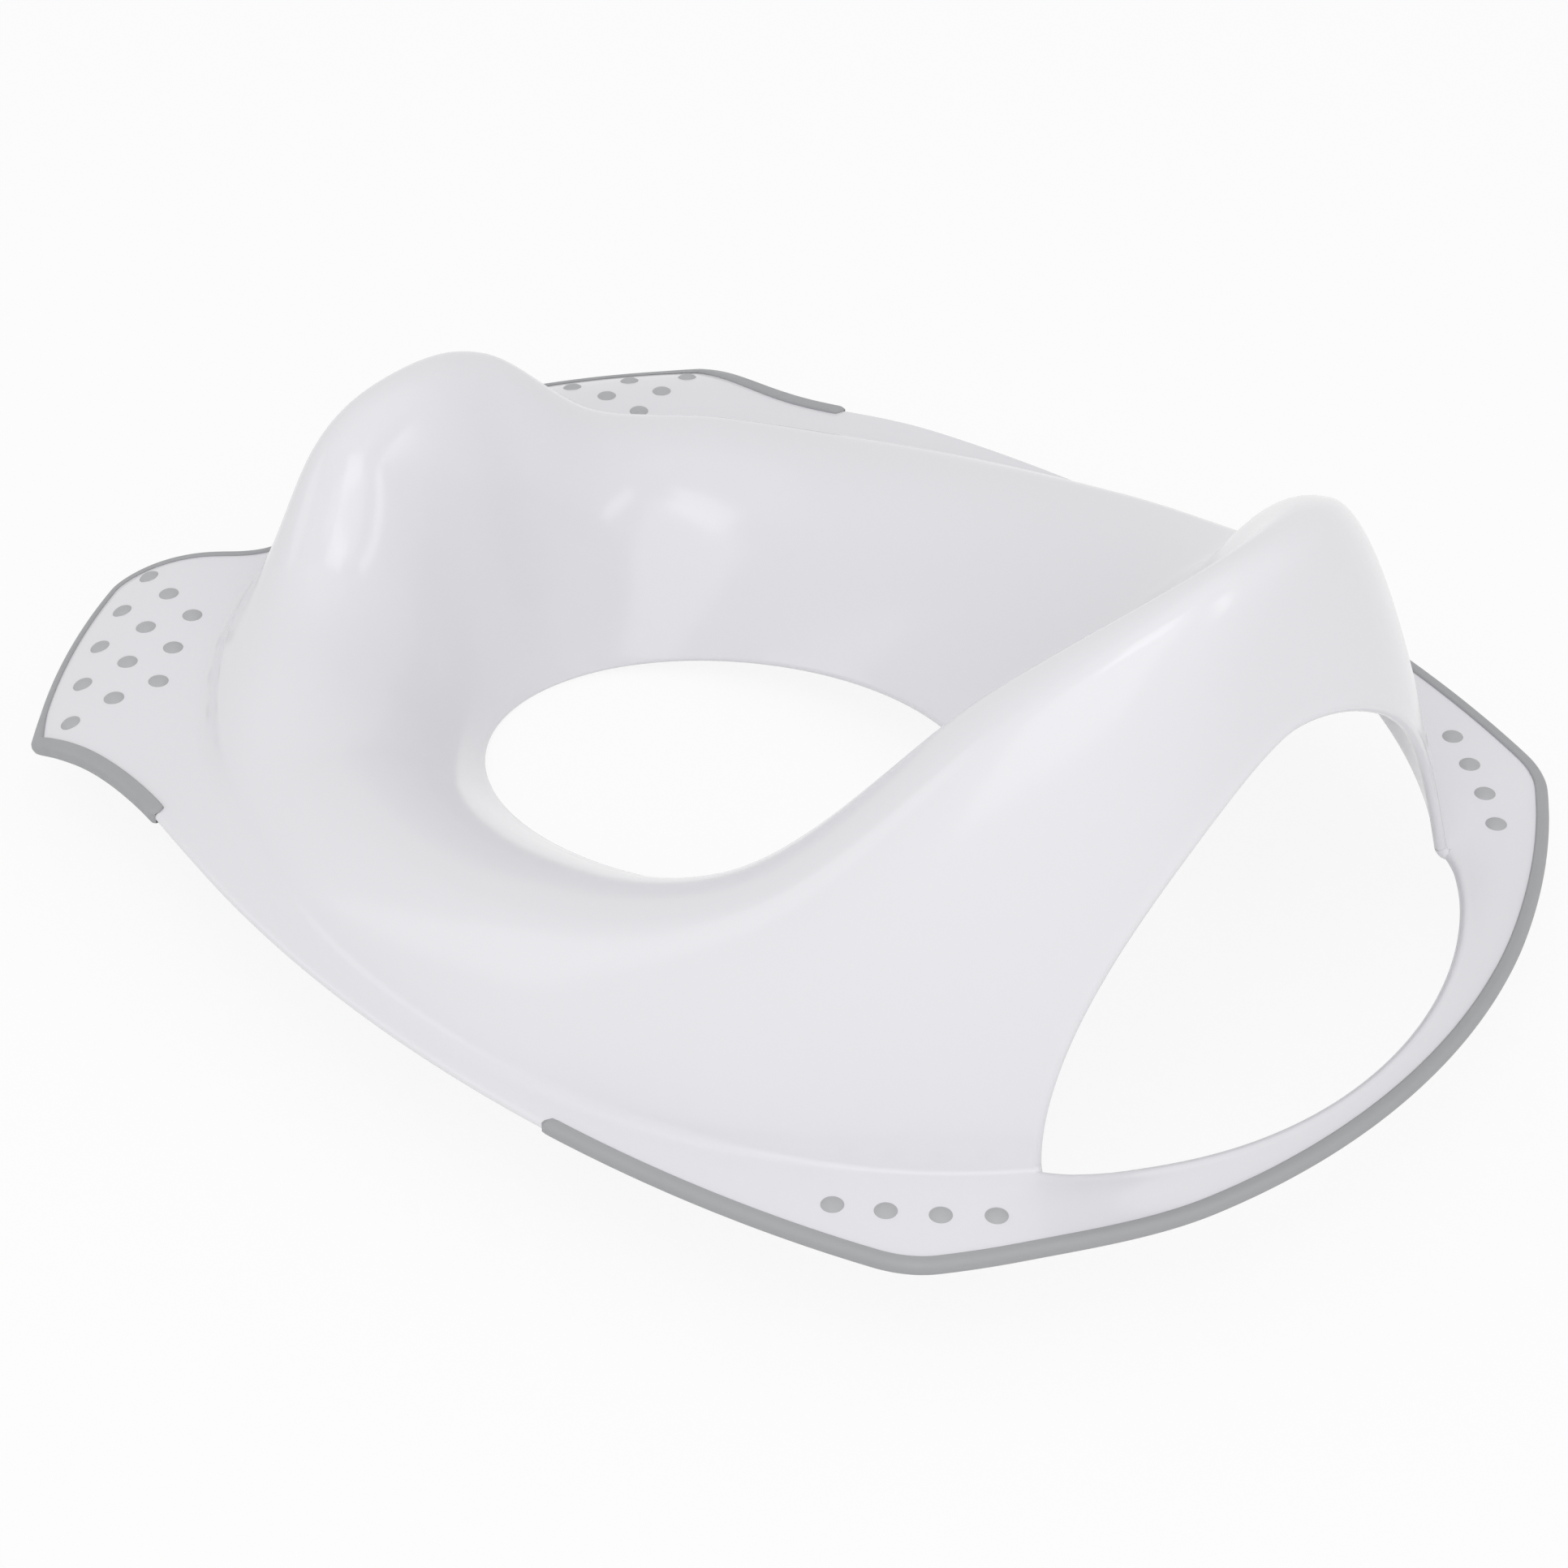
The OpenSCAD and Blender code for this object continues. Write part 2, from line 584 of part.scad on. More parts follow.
module seat_shell() {
    color([0.93, 0.93, 0.95]) lift() difference() {
        polyhedron(shell_points, shell_faces);
        for (side = SIDES) on_side(side) {
            for (i = [0:EAR_DOTS - 1]) on_skin(ear_dot_plan(i)) dot_hole();
            for (i = [0:REAR_DOTS - 1]) on_skin(rear_dot_plan(i)) dot_hole();
        }
    }
}
module grip_rear() {
    color([0.68, 0.68, 0.7]) lift() grip(rear_grip_start, 180 - rear_grip_start);
}
module grip_left_ear() {
    color([0.68, 0.68, 0.7]) lift() grip(grip_ear_end, ear_grip_start);
}
module grip_right_ear() {
    color([0.68, 0.68, 0.7]) lift() grip(180 - ear_grip_start, 180 - grip_ear_end);
}
module ear_dot(side, i) {
    color([0.72, 0.72, 0.74]) lift() on_side(side) on_skin(ear_dot_plan(i)) dot();
}
module rear_dot(side, i) {
    color([0.72, 0.72, 0.74]) lift() on_side(side) on_skin(rear_dot_plan(i)) dot();
}

seat_shell();
grip_rear();
grip_left_ear();
grip_right_ear();
for (side = SIDES, i = [0:EAR_DOTS - 1])
    ear_dot(side, i);
for (side = SIDES, i = [0:REAR_DOTS - 1])
    rear_dot(side, i);
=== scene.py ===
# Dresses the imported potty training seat: the moulded shell, its soft edge grips and its soft dots are
# rebuilt finely from the same formulas as the solid model, and get their plastic and rubber.
# Lengths are millimetres until a mesh is made; the seat faces -Y and its left side is +X.
import math

import bpy
import numpy as np
from mathutils import Matrix, Vector


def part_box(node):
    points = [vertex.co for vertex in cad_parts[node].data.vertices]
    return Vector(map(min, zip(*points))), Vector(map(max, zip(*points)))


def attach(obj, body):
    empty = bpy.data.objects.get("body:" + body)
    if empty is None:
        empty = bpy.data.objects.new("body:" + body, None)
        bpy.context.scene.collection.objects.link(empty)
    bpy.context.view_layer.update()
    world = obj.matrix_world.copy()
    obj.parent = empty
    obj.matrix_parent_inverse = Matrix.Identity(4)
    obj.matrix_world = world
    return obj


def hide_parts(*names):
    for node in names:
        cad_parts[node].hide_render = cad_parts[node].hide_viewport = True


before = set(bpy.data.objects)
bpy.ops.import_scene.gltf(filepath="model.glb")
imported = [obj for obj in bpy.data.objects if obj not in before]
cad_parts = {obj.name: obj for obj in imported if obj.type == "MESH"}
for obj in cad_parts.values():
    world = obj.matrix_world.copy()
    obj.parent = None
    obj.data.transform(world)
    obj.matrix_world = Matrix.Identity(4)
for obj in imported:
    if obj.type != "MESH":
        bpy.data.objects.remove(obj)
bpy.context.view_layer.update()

# Hole and wall foot
HOLE_W = 107.0
HOLE_L = 154.0
HOLE_Y = -18.5
RIM_FRONT_DEPTH = 36.5
RIM_REAR_DEPTH = 5.5
FOOT_W = 288.0
FOOT_Y = 17.5
FOOT_FRONT_L = 185.0
FOOT_REAR_L = 173.0

# Stations of the wall, as angles round the seat from the front to the rear
STATION_AT = np.array([-90.0, -75.0, -60.0, -45.0, -30.0, 0.0, 30.0, 60.0, 90.0])
CREST_H = [55, 47, 21, 14, 11, 23.5, 49.5, 107.5, 130.5]
CREST_SHARE = [0.58, 0.645, 0.62, 0.69, 0.695, 0.74, 0.735, 0.68, 0.685]
RIM_SLOPE = [74, 67, 60, 54, 48, 41, 33, 37, 24]
RIM_PULL = [0.35, 0.35, 0.35, 0.35, 0.35, 0.35, 0.385, 0.45, 0.47]
CREST_PULL_IN = [0.495, 0.49, 0.475, 0.46, 0.46, 0.4, 0.33, 0.37, 0.235]
CREST_PULL_OUT = [0.605, 0.58, 0.48, 0.48, 0.465, 0.395, 0.37, 0.335, 0.37]
FOOT_SLOPE = [53, 49, 45, 45, 45, 66, 77, 77, 69]
FOOT_PULL = [0.345, 0.36, 0.35, 0.34, 0.32, 0.305, 0.36, 0.465, 0.78]

# Carrying opening
ARCH_W = 161.0
ARCH_H = 88.0
ARCH_POWER = 1.75
SLOT_CUT = 5.5

# Flange and ears
WALL_T = 2.6
FLANGE_W = 303.8
FLANGE_SIDE_Y = 21.0
FLANGE_FRONT_L = 251.0
FLANGE_REAR_L = 251.0
FLANGE_REAR_Y = 205.0
FLANGE_REAR_R = 198.0
FLANGE_CORNER = 4.0
NOSE_W = 4.5
EAR_R = 210.5
EAR_Y = -1.5
EAR_X = 15.5
EAR_SIDE_X = 128.5
EAR_SIDE_Y = -117.5
EAR_SIDE_LEAN = -0.05
EAR_INNER_X = 45.5
EAR_INNER_Y = -182.5
EAR_INNER_LEAN = 0.95
EAR_CORNER = 1.0
EAR_INNER_CORNER = 22.0
EAR_BLEND = 11.0
EAR_FROM = -35.0
NOSE_FROM = -50.0

# Bends of the flange
EAR_DROP = 4.0
EAR_BEND_W = 35.0
EAR_ROLL = 7.0
EAR_ROLL_W = 27.0
EAR_ROLL_POWER = 2.2
EAR_BEND_Y = -67.5
EAR_BEND_L = 60.0
REAR_DROP = 3.0
REAR_BEND_X = 104.0
REAR_BEND_W = 45.0
REAR_BEND_Y = 152.5
REAR_BEND_L = 25.0

# Edge grips and dots; an ear's grip is slimmer in front and fuller at its side
GRIP_W = 3.5
GRIP_OUT = 0.8
GRIP_T = 0.75
GRIP_FRONT_W = 2.5
GRIP_SIDE_W = 4.5
GRIP_SIDE_OUT = 1.2
GRIP_SIDE_T = 1.15
GRIP_TURN = -57.0
GRIP_TURN_W = 7.0
GRIP_REAR_Y = 64.0
GRIP_EAR_Y = -92.0
GRIP_EAR_END = -79.0
DOT_D = 5.6
DOT_CROWN = 1.05
DOT_NUB = 0.8
DOT_BRIM = 0.7
DOT_EAR_BEARING = -57.5
DOT_EAR_PITCH = 5.05
DOT_EAR_INSET = 9.8
DOT_EAR_ROW = 10.7
DOT_EAR_COUNTS = [5, 4, 3]
DOT_REAR_BEARING = 43.0
DOT_REAR_PITCH = 4.15
DOT_REAR_SHARE = [0.49, 0.44, 0.47, 0.53]

# Fine shape that only this model has: the fillet at the wall's foot, how far the rounded edge stands
# past its two sides, and the lip of the carrying opening with how far it starts back from the cut
FOOT_FILLET_FRONT = 3.0
FOOT_FILLET_REAR = 1.3
FILLET_FROM = 15.0
FILLET_OVER = 35.0
EDGE_BULGE = 1.15
EDGE_TURNS = [18, 38, 62, 90, 118, 142, 162]
LIP_BULGE = 2.3
LIP_BACK = 2.2
LIP_SLOT = 2.5
LIP_CORNER = 8.0
LIP_SWELL = 1.25
GRIP_END_L = 2.2
GRIP_END_SHARE = 0.25
GRIP_STEP = 1.3
GRIP_GAP = 0.03
GRIP_HOLD = 0.5
GRIP_ROUND = 1.5
GRIP_END_ROUND = 0.3
GRIP_LIP_ROUND = 0.9
GRIP_ARC_POINTS = 6
DOT_SIDES = 40
DOT_DOME_POWER = 1.7
DOT_FOOT_BEVEL = [[0.0, 0.35], [0.12, 0.12], [0.4, 0.0]]

# Fineness of the meshes, and the small steps that the formulas take
FRONT_STEP = 0.6
SIDE_STEP = 0.75
SIDE_FROM = -36.0
ARCH_COLUMNS = 58
ARCH_CROWDING = 1.6
ROWS_IN = 26
ROWS_OUT = 26
ROWS_FILLET = 6
ROWS_FLANGE = 9
COLUMN_GAP = 0.3
COLUMN_PAST = 1e-7
ANGLE_SLACK = 1e-3
PROBE_SHARE = 0.01
PROBE_STEP = 0.02
HALVINGS = 30
EDGE_SAMPLES = 4000

# Camera that took the photograph, in metres, degrees and pixels
CAMERA_AT = (0.6315, 0.5801, 0.6891)
CAMERA_YAW = 132.69
CAMERA_RISE = 37.82
CAMERA_ROLL = 0.27
CAMERA_SENSOR = 36
CAMERA_FOCAL_PIXELS = 4976
PHOTO_PIXELS = 1932
CAMERA_LENS = CAMERA_SENSOR * CAMERA_FOCAL_PIXELS / PHOTO_PIXELS

# Lamps as name, place, size and power, which all look at the seat; then the room and the floor
LOOK_AT = (0, 0, 0.05)
LAMPS = [
    ("right_window", (-0.2, 1.28, 0.95), (0.22, 0.75), 1.0),
    ("left_window", (1.05, -1.0, 0.75), (0.9, 0.6), 1.2),
    ("upper_window", (0.55, 0.55, 1.6), (0.7, 0.5), 2.0),
    ("ceiling", (0, 0, 1.8), (1.5, 1.5), 1.5),
    ("front", (0.99, 0.91, 1.09), (1.5, 1.5), 5.8),
]
ROOM_LIGHT = 0.66
FLOOR_COLOUR = (0.9, 0.9, 0.9)
FLOOR_GLOW = 0.88
FLOOR_HALF = 4.0

# Finishes: the two colours that a surface wanders between, and the range of its roughness
SHELL_COLOURS = [(0.812, 0.805, 0.836), (0.819, 0.811, 0.844)]
SHELL_ROUGHNESS = (0.15, 0.17)
GRIP_COLOURS = [(0.375, 0.38, 0.39), (0.39, 0.395, 0.405)]
DOT_COLOURS = [(0.45, 0.455, 0.465), (0.465, 0.47, 0.48)]
RUBBER_ROUGHNESS = (0.42, 0.58)
NOISE_RANGE = (0.3, 0.7)

FLANGE_Z = RIM_FRONT_DEPTH + WALL_T * math.cos(math.radians(RIM_SLOPE[0]))
ARCH_ANGLE = math.degrees(math.acos((ARCH_W + 2 * LIP_BACK) / FOOT_W))
ARCH_REACH = math.hypot(FOOT_W / 2 * math.sin(math.radians(ARCH_ANGLE)),
                        FOOT_REAR_L * math.cos(math.radians(ARCH_ANGLE)))
SHIFT_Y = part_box("seat_shell")[1][1] * 1000 - FLANGE_REAR_Y


# General helpers
def rad(angle):
    return np.radians(angle)


def smooth(u):
    c = np.clip(u, 0, 1)
    return c * c * (3 - 2 * c)


def soft_min(a, b, k):
    h = np.clip(0.5 + 0.5 * (b - a) / k, 0, 1)
    return b + (a - b) * h - k * h * (1 - h)


def soft_max(a, b, k):
    return -soft_min(-np.asarray(a), -np.asarray(b), k)


def bezier(p, v):
    w = 1 - v
    return w ** 3 * p[0] + 3 * v * w * w * p[1] + 3 * v * v * w * p[2] + v ** 3 * p[3]


def fold(angle):
    """Angle of the matching place on the seat's left half, from -90 in front to 90 at the rear."""
    b = np.where(angle > 180, angle - 360, angle)
    return np.where(b > 90, 180 - b, np.where(b < -90, -180 - b, b))


def station(values, angle):
    """Smooth value between the stations; it is level at the first and the last."""
    v = np.array(values, float)
    s = STATION_AT
    slope = np.zeros(len(v))
    slope[1:-1] = (v[2:] - v[:-2]) / (s[2:] - s[:-2])
    a = fold(np.asarray(angle, float))
    k = np.clip(np.searchsorted(s, a, side="right") - 1, 0, len(v) - 2)
    step = s[k + 1] - s[k]
    f = (a - s[k]) / step
    return (
        v[k] * (2 * f ** 3 - 3 * f * f + 1)
        + slope[k] * step * (f ** 3 - 2 * f * f + f)
        + v[k + 1] * (3 * f * f - 2 * f ** 3)
        + slope[k + 1] * step * (f ** 3 - f * f)
    )


# Bowl
def rim_point(a):
    s = np.sin(rad(a))
    z = -(RIM_FRONT_DEPTH + RIM_REAR_DEPTH) / 2 + (RIM_FRONT_DEPTH - RIM_REAR_DEPTH) / 2 * s
    return np.stack([HOLE_W / 2 * np.cos(rad(a)), HOLE_Y + HOLE_L / 2 * s, z], -1)


def foot_point(a):
    s = np.sin(rad(a))
    length = np.where(s < 0, FOOT_FRONT_L, FOOT_REAR_L)
    return np.stack([FOOT_W / 2 * np.cos(rad(a)), FOOT_Y + length * s, 0 * s], -1)


def wall_point(a, v, outer):
    """Point of the wall at angle a and share v of its inner or outer curve."""
    a, v = np.broadcast_arrays(np.asarray(a, float), np.asarray(v, float))
    rim = rim_point(a)
    foot = foot_point(a)
    run = foot[..., :2] - rim[..., :2]
    reach = np.hypot(run[..., 0], run[..., 1])
    crest_x = station(CREST_SHARE, a) * reach
    crest_z = station(CREST_H, a)
    if outer:
        rest = reach - crest_x
        pull = station(FOOT_PULL, a) * np.hypot(rest, crest_z)
        slope = rad(station(FOOT_SLOPE, a))
        xs = [crest_x, crest_x + station(CREST_PULL_OUT, a) * rest, reach - pull * np.cos(slope), reach]
        zs = [crest_z, crest_z, pull * np.sin(slope), 0 * crest_z]
    else:
        rim_z = rim[..., 2]
        pull = station(RIM_PULL, a) * np.hypot(crest_x, crest_z - rim_z)
        slope = rad(station(RIM_SLOPE, a))
        xs = [0 * crest_x, pull * np.cos(slope), crest_x * (1 - station(CREST_PULL_IN, a)), crest_x]
        zs = [rim_z, rim_z + pull * np.sin(slope), crest_z, crest_z]
    along = bezier(xs, v) / reach
    return np.stack(
        [rim[..., 0] + run[..., 0] * along, rim[..., 1] + run[..., 1] * along, bezier(zs, v)], -1
    )


def share_above(a, z):
    """Share of the outer curve at angle a where it comes down to height z."""
    lo = np.zeros(np.shape(a))
    hi = np.ones(np.shape(a))
    for _ in range(HALVINGS):
        mid = (lo + hi) / 2
        above = wall_point(a, mid, True)[..., 2] > z
        lo = np.where(above, mid, lo)
        hi = np.where(above, hi, mid)
    return (lo + hi) / 2


def fillet_size(a):
    """Size of the fillet at the wall's foot, which gets smaller towards the rear."""
    share = smooth((fold(a) - FILLET_FROM) / FILLET_OVER)
    return FOOT_FILLET_FRONT + (FOOT_FILLET_REAR - FOOT_FILLET_FRONT) * share


# Carrying opening
def arch_turn(a):
    return 90 * np.clip((fold(a) - ARCH_ANGLE) / (90 - ARCH_ANGLE), 0, 1)


def arch_edge(a):
    """Angle round the seat and height of the opening's edge for the column at angle a."""
    turn = rad(arch_turn(a))
    height = ARCH_H * np.sin(turn) ** (2 / ARCH_POWER)
    half = 90 - (90 - ARCH_ANGLE) * np.clip(np.cos(turn), 0, 1) ** (2 / ARCH_POWER)
    return np.where(a > 90, 180 - half, half), soft_max(height, FOOT_FILLET_REAR, 1.0)


def slot_cut(a):
    """How far the opening cuts into the flange past the wall's foot."""
    share = (90 - fold(a)) / (90 - ARCH_ANGLE)
    along = np.clip(np.radians(fold(a) - ARCH_ANGLE) * ARCH_REACH / LIP_CORNER, 0, 1)
    corner = np.sqrt(1 - (1 - along) ** 2)
    return FOOT_FILLET_REAR + corner * (LIP_SLOT - FOOT_FILLET_REAR + SLOT_CUT * (1 - share ** 4))


# Outline of the flange as a distance from the centre of the wall foot
def bearing(p):
    return np.degrees(np.arctan2(p[..., 1] - FOOT_Y, p[..., 0]))


def polar(r, b):
    return np.stack([r * np.cos(rad(b)), FOOT_Y + r * np.sin(rad(b))], -1)


def foot_r(b):
    length = np.where(np.sin(rad(b)) < 0, FOOT_FRONT_L, FOOT_REAR_L)
    return 1 / np.hypot(np.cos(rad(b)) / (FOOT_W / 2), np.sin(rad(b)) / length)


def ray_circle(b, x, y, r):
    ox = -x
    oy = FOOT_Y - y
    along = np.cos(rad(b)) * ox + np.sin(rad(b)) * oy
    return -along + np.sqrt(np.maximum(along * along - ox * ox - oy * oy + r * r, 0))


def ray_line(b, x, y, lean):
    d = np.cos(rad(b)) - lean * np.sin(rad(b))
    d = np.where(np.abs(d) < 1e-3, 1e-3, d)
    r = (x + lean * (FOOT_Y - y)) / d
    return np.where(r > 0, np.minimum(r, 1000), 1000)


def ray_side(b):
    off = FOOT_Y - FLANGE_SIDE_Y
    half_l = np.where(np.sin(rad(b)) * FLANGE_W / 2 < -off * np.cos(rad(b)), FLANGE_FRONT_L, FLANGE_REAR_L)
    qa = (np.cos(rad(b)) / (FLANGE_W / 2)) ** 2 + (np.sin(rad(b)) / half_l) ** 2
    qb = np.sin(rad(b)) * off / half_l ** 2
    qc = off * off / half_l ** 2 - 1
    return (-qb + np.sqrt(qb * qb - qa * qc)) / qa


def edge_r(angle):
    """Distance of the flange's outer edge: its sides, nose and ears, softly joined."""
    b = fold(angle)
    ear = soft_min(
        soft_min(ray_line(b, EAR_SIDE_X, EAR_SIDE_Y, EAR_SIDE_LEAN), ray_circle(b, -EAR_X, EAR_Y, EAR_R),
                 EAR_CORNER),
        ray_line(b, EAR_INNER_X, EAR_INNER_Y, -EAR_INNER_LEAN),
        EAR_INNER_CORNER)
    ear = np.where(b > EAR_FROM, 0, ear)
    sides = soft_min(ray_side(b), ray_circle(b, 0, FLANGE_REAR_Y - FLANGE_REAR_R, FLANGE_REAR_R),
                     FLANGE_CORNER)
    body = np.where(b < NOSE_FROM, foot_r(b) + NOSE_W, sides)
    return soft_max(body, ear, EAR_BLEND)


def flange_drop(x, y):
    """How far the flange lies below its level plane, at the ears and in the middle of the rear."""
    ear = np.hypot(np.abs(x) + EAR_X, y - EAR_Y)
    forward = smooth((EAR_BEND_Y - y) / EAR_BEND_L)
    bend = EAR_DROP * smooth((ear - EAR_R) / EAR_BEND_W + 2)
    roll = EAR_ROLL * np.maximum((ear - EAR_R) / EAR_ROLL_W + 1, 0) ** EAR_ROLL_POWER
    past_foot = (np.hypot(x, y - FOOT_Y) - FOOT_REAR_L) / (FLANGE_REAR_Y - FOOT_Y - FOOT_REAR_L)
    return forward * (bend + roll) + REAR_DROP * smooth((REAR_BEND_X - np.abs(x)) / REAR_BEND_W) * smooth(
        (y - REAR_BEND_Y) / REAR_BEND_L) * smooth(past_foot)


def skin(p):
    """Puts plan points on the flange's upper side."""
    return np.concatenate([p, -flange_drop(p[..., 0], p[..., 1])[..., None]], -1)


def unit(v):
    return v / np.linalg.norm(v, axis=-1, keepdims=True)


def skin_normal(p):
    x = p[..., 0]
    y = p[..., 1]
    step = PROBE_STEP
    return unit(np.stack([
        flange_drop(x + step, y) - flange_drop(x - step, y),
        flange_drop(x, y + step) - flange_drop(x, y - step),
        np.full(np.shape(x), 2 * step)], -1))


# Mesh making
def place(points):
    """Millimetres of the formulas to metres of the seat."""
    return (np.asarray(points) + [0, SHIFT_Y, FLANGE_Z]) / 1000


def mesh_piece(name, points, faces, material):
    mesh = bpy.data.meshes.new(name)
    mesh.from_pydata(place(points).tolist(), [], [tuple(int(v) for v in f) for f in faces])
    mesh.validate()
    mesh.polygons.foreach_set("use_smooth", [True] * len(mesh.polygons))
    mesh.materials.append(material)
    mesh.update()
    piece = bpy.data.objects.new(name, mesh)
    bpy.context.scene.collection.objects.link(piece)
    return piece


def grid_faces(first, second, rows):
    """Quads between two columns of point numbers over the rows given."""
    return [(first[j], first[j + 1], second[j + 1], second[j]) for j in rows]


def vertex_normals(points, faces):
    quads = np.array(faces)
    across = np.cross(points[quads[:, 2]] - points[quads[:, 0]], points[quads[:, 3]] - points[quads[:, 1]])
    out = np.zeros_like(points)
    for corner in range(4):
        np.add.at(out, quads[:, corner], across)
    return unit(out)


# Shell
def shell_columns():
    """Angles round the seat of the mesh's columns, closer together where the opening starts."""
    steps = np.linspace(0, 1, ARCH_COLUMNS)[1:]
    half = np.concatenate([
        np.arange(-90, SIDE_FROM, FRONT_STEP),
        np.arange(SIDE_FROM, ARCH_ANGLE, SIDE_STEP),
        ARCH_ANGLE + (90 - ARCH_ANGLE) * steps ** ARCH_CROWDING])
    half = half[np.abs(half - ARCH_ANGLE) > COLUMN_GAP]
    half = np.sort(np.concatenate([half, [ARCH_ANGLE + COLUMN_PAST]]))
    half[-1] = 90
    return np.concatenate([half, 180 - half[1:-1][::-1]])


def inner_rows(columns):
    """Inner wall from its lower edge, which stays short of the rim by the rounding, to the crest."""
    rise = wall_point(columns, PROBE_SHARE, False) - wall_point(columns, 0, False)
    begin = (EDGE_BULGE * PROBE_SHARE / np.linalg.norm(rise, axis=1))[:, None]
    rows = np.linspace(0, 1, ROWS_IN + 1)[None, :]
    return wall_point(columns[:, None], begin + (1 - begin) * rows, False)


def outer_rows(a, end_angle, end_share):
    """Outer wall from below the crest to the share given, leaning to another angle on the way."""
    f = np.linspace(0, 1, ROWS_OUT + 1)[1:]
    return wall_point(a + (end_angle - a) * f, end_share * f, True)


def flange_rows(b, start):
    """Flange along a bearing from its start beside the wall to its rounded edge."""
    end = edge_r(b) - EDGE_BULGE
    shares = np.linspace(0, 1, ROWS_FLANGE + 1)
    return skin(polar(start + (end - start) * shares, np.full(ROWS_FLANGE + 1, b)))


def fillet_rows(b, top, end):
    """Rounding between the wall and the flange, bent round the wall's foot."""
    foot = skin(polar(foot_r(b), b)[None, :])[0]
    s = np.linspace(0, 1, ROWS_FILLET + 2)[1:-1, None]
    return (1 - s) ** 2 * top + 2 * s * (1 - s) * foot + s * s * end


def build_shell(material):
    columns = shell_columns()
    n = len(columns)
    opening = fold(columns) > ARCH_ANGLE + ANGLE_SLACK
    points = []

    def add(batch):
        start = len(points)
        points.extend(batch)
        return list(range(start, start + len(batch)))

    inner = inner_rows(columns)
    edge_angle, edge_z = arch_edge(columns)
    fillet_top = share_above(columns, fillet_size(columns))
    tops = []
    strips = []
    for i, a in enumerate(columns):
        b = bearing(foot_point(a))
        if opening[i]:
            last = share_above(np.array([edge_angle[i]]), np.array([edge_z[i]]))[0]
            tops.append(add(np.concatenate([inner[i], outer_rows(a, edge_angle[i], last)])))
            strips.append(add(flange_rows(b, foot_r(b) + slot_cut(a))))
        else:
            outer = outer_rows(a, a, fillet_top[i])
            flange = flange_rows(b, foot_r(b) + fillet_size(a))
            fillet = fillet_rows(b, outer[-1], flange[0])
            tops.append(add(np.concatenate([inner[i], outer, fillet, flange])))
            strips.append(None)
    points = np.array(points)

    wall_end = ROWS_IN + ROWS_OUT
    flange_start = wall_end + 1 + ROWS_FILLET
    top_faces = []
    for i in range(n):
        m = (i + 1) % n
        if not opening[i] and not opening[m]:
            top_faces += grid_faces(tops[i], tops[m], range(flange_start + ROWS_FLANGE))
        else:
            top_faces += grid_faces(tops[i], tops[m], range(wall_end))
            first = strips[i] or tops[i][flange_start:]
            second = strips[m] or tops[m][flange_start:]
            top_faces += grid_faces(first, second, range(ROWS_FLANGE))
    under = points - WALL_T * vertex_normals(points, top_faces)
    count = len(points)
    every = [points, under]
    faces = list(top_faces) + [tuple(v + count for v in f[::-1]) for f in top_faces]
    size = 2 * count

    def close_edge(loop, bulge=EDGE_BULGE, swell=1.0):
        """Rounds the wall's edge along a loop of top points that has the surface on its left."""
        nonlocal size
        loop = np.array(loop)
        t = points[loop]
        u = under[loop]
        ahead = np.roll(t, -1, 0) - np.roll(t, 1, 0)
        out = unit(np.cross(ahead, t - u))
        middle = (t + u) / 2
        turns = np.radians(EDGE_TURNS)
        rings = [middle + (t - middle) * swell * math.cos(p) + out * bulge * math.sin(p) for p in turns]
        every.extend(rings)
        rows = [loop] + [size + k * len(loop) + np.arange(len(loop)) for k in range(len(turns))]
        rows.append(loop + count)
        size += len(turns) * len(loop)
        for k in range(len(rows) - 1):
            for i in range(len(loop)):
                m = (i + 1) % len(loop)
                faces.append((rows[k][i], rows[k + 1][i], rows[k + 1][m], rows[k][m]))

    close_edge([tops[i][0] for i in range(n)][::-1])
    close_edge([(strips[i] or tops[i])[-1] for i in range(n)])
    first = int(np.argmax(opening)) - 1
    last = n - int(np.argmax(opening[::-1]))
    over = [tops[i][wall_end] for i in range(first, last + 1)]
    down = tops[last][wall_end + 1:flange_start + 1]
    back = [strips[i][0] for i in range(last - 1, first, -1)]
    up = tops[first][wall_end + 1:flange_start + 1][::-1]
    close_edge(over + down + back + up, LIP_BULGE, LIP_SWELL)
    return mesh_piece("moulded_shell", np.concatenate(every), faces, material)


# Edge grips
def edge_path(start_angle, end_angle):
    """Points at even steps along the flange's edge, and how far along it each lies."""
    b = np.linspace(start_angle, end_angle, EDGE_SAMPLES)
    p = polar(edge_r(b), b)
    length = np.concatenate([[0], np.cumsum(np.linalg.norm(np.diff(p, axis=0), axis=1))])
    at = np.linspace(0, length[-1], max(int(length[-1] / GRIP_STEP), 8))
    return np.stack([np.interp(at, length, p[:, k]) for k in range(2)], -1), at


def grip_size(b, ear):
    """Width, outward reach and thickness of a grip at a bearing; an ear's grip is fuller at its side."""
    if not ear:
        return np.array([GRIP_W, GRIP_OUT, GRIP_T])
    front = np.array([GRIP_FRONT_W, GRIP_OUT, GRIP_T])
    side = np.array([GRIP_SIDE_W, GRIP_SIDE_OUT, GRIP_SIDE_T])
    return front + (side - front) * smooth((fold(b) - GRIP_TURN) / GRIP_TURN_W)


